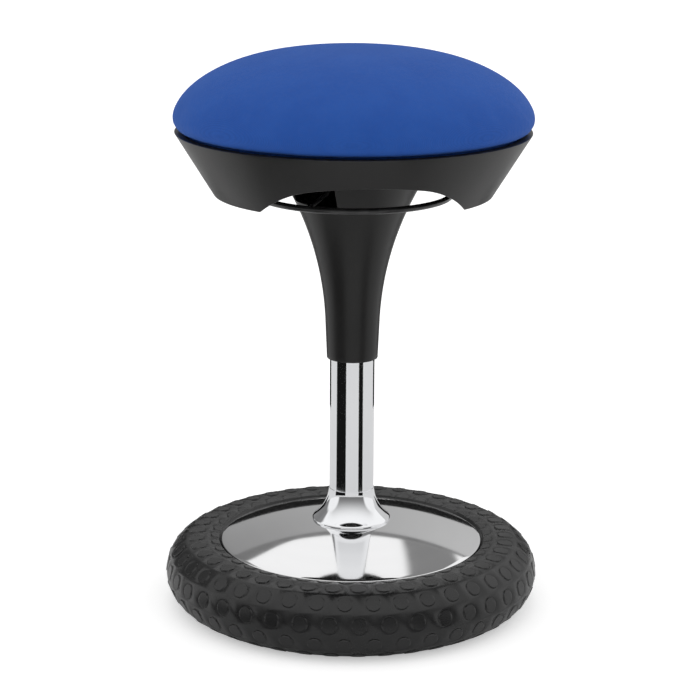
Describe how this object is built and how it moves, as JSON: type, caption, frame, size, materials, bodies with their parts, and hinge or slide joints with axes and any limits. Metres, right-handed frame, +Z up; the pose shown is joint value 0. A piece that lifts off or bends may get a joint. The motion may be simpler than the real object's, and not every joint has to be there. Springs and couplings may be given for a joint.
{
  "type": "wobble stool",
  "caption": "Height-adjustable wobble stool: domed upholstered round seat on a swivelling gas column, standing in a polished dish carried by a soft air-filled tyre.",
  "frame": {"origin": "centre of the tyre's floor contact, on the column's axis", "axes": "+Z up along the column, -Y towards the front grip arch, +X to the right seen from the front"},
  "size_m": [0.396, 0.396, 0.5924],
  "materials": {
    "tyre_rubber": "satin",
    "tube_rubber": "matte",
    "polished_aluminium": "polished",
    "chrome": "polished",
    "black_steel": "satin",
    "zinc_steel": "satin",
    "brass": "satin",
    "black_plastic": "satin",
    "cap_plastic": "matte",
    "bush_plastic": "satin",
    "seal_rubber": "matte",
    "cylinder_paint": "gloss",
    "rod_chrome": "polished",
    "piston_alloy": "satin",
    "cast_mount": "matte",
    "ring_steel": "satin",
    "plywood": "matte",
    "foam": "matte",
    "blue_fabric": "matte"
  },
  "bodies": {
    "tyre": {"tyre": "tyre_rubber"},
    "air_tube": {"air_tube": "tube_rubber"},
    "base": {"base_dish": "polished_aluminium", "lower_rim": "black_steel", "rim_tabs": "black_steel", "rim_studs": "zinc_steel", "rim_nuts": "zinc_steel", "air_valve": "brass", "valve_cap": "cap_plastic", "hub_cone": "chrome", "hub_socket": "black_steel", "standpipe": "chrome", "guide_bush": "bush_plastic", "anchor_plate": "zinc_steel", "lower_race": "zinc_steel"},
    "rod": {"piston_rod": "rod_chrome", "rod_washer": "zinc_steel", "rod_clip": "zinc_steel", "bearing_balls": "zinc_steel", "upper_race": "zinc_steel", "bump_stop": "seal_rubber", "piston": "piston_alloy", "piston_ring": "seal_rubber"},
    "seat": {"gas_cylinder": "cylinder_paint", "rod_guide": "brass", "rod_seal": "seal_rubber", "seat_shell": "black_plastic", "neck_sleeve": "black_plastic", "seat_mount": "cast_mount", "seat_board": "plywood", "foam_pad": "foam", "fabric_cover": "blue_fabric", "cover_staples": "zinc_steel", "mount_bolts": "zinc_steel", "tee_nuts": "zinc_steel", "neck_screws": "zinc_steel", "shell_screws": "zinc_steel"},
    "release": {"release_ring": "ring_steel", "release_bar": "zinc_steel"},
    "pin": {"valve_pin": "zinc_steel"}
  },
  "joints": [
    {"name": "rock_fore_aft", "type": "hinge", "parent": "tyre", "child": "air_tube", "pos_m": [0, 0, 0.0353], "axis": [1, 0, 0], "range_deg": [-4, 4], "stiffness_Nm_per_rad": 600, "deforming": ["tyre", "air_tube"]},
    {"name": "rock_sideways", "type": "hinge", "parent": "air_tube", "child": "base", "pos_m": [0, 0, 0.0353], "axis": [0, 1, 0], "range_deg": [-4, 4], "stiffness_Nm_per_rad": 600, "deforming": ["tyre", "air_tube"]},
    {"name": "swivel", "type": "hinge", "parent": "base", "child": "rod", "pos_m": [0, 0, 0.029], "axis": [0, 0, 1], "continuous": true},
    {"name": "height", "type": "slide", "parent": "rod", "child": "seat", "axis": [0, 0, 1], "range_m": [-0.125, 0]},
    {"name": "release_lift", "type": "hinge", "parent": "seat", "child": "release", "pos_m": [-0.0118, -0.02317, 0.4906], "axis": [-0.891, 0.454, 0], "range_deg": [0, 5], "stiffness_Nm_per_rad": 4, "springref_deg": -6.88},
    {"name": "pin_press", "type": "slide", "parent": "seat", "child": "pin", "axis": [0, 0, 1], "range_m": [-0.0028, 0]}
  ],
  "couplings": [
    {"joint": "pin_press", "follows": "release_lift", "m_per_rad": -0.026}
  ]
}
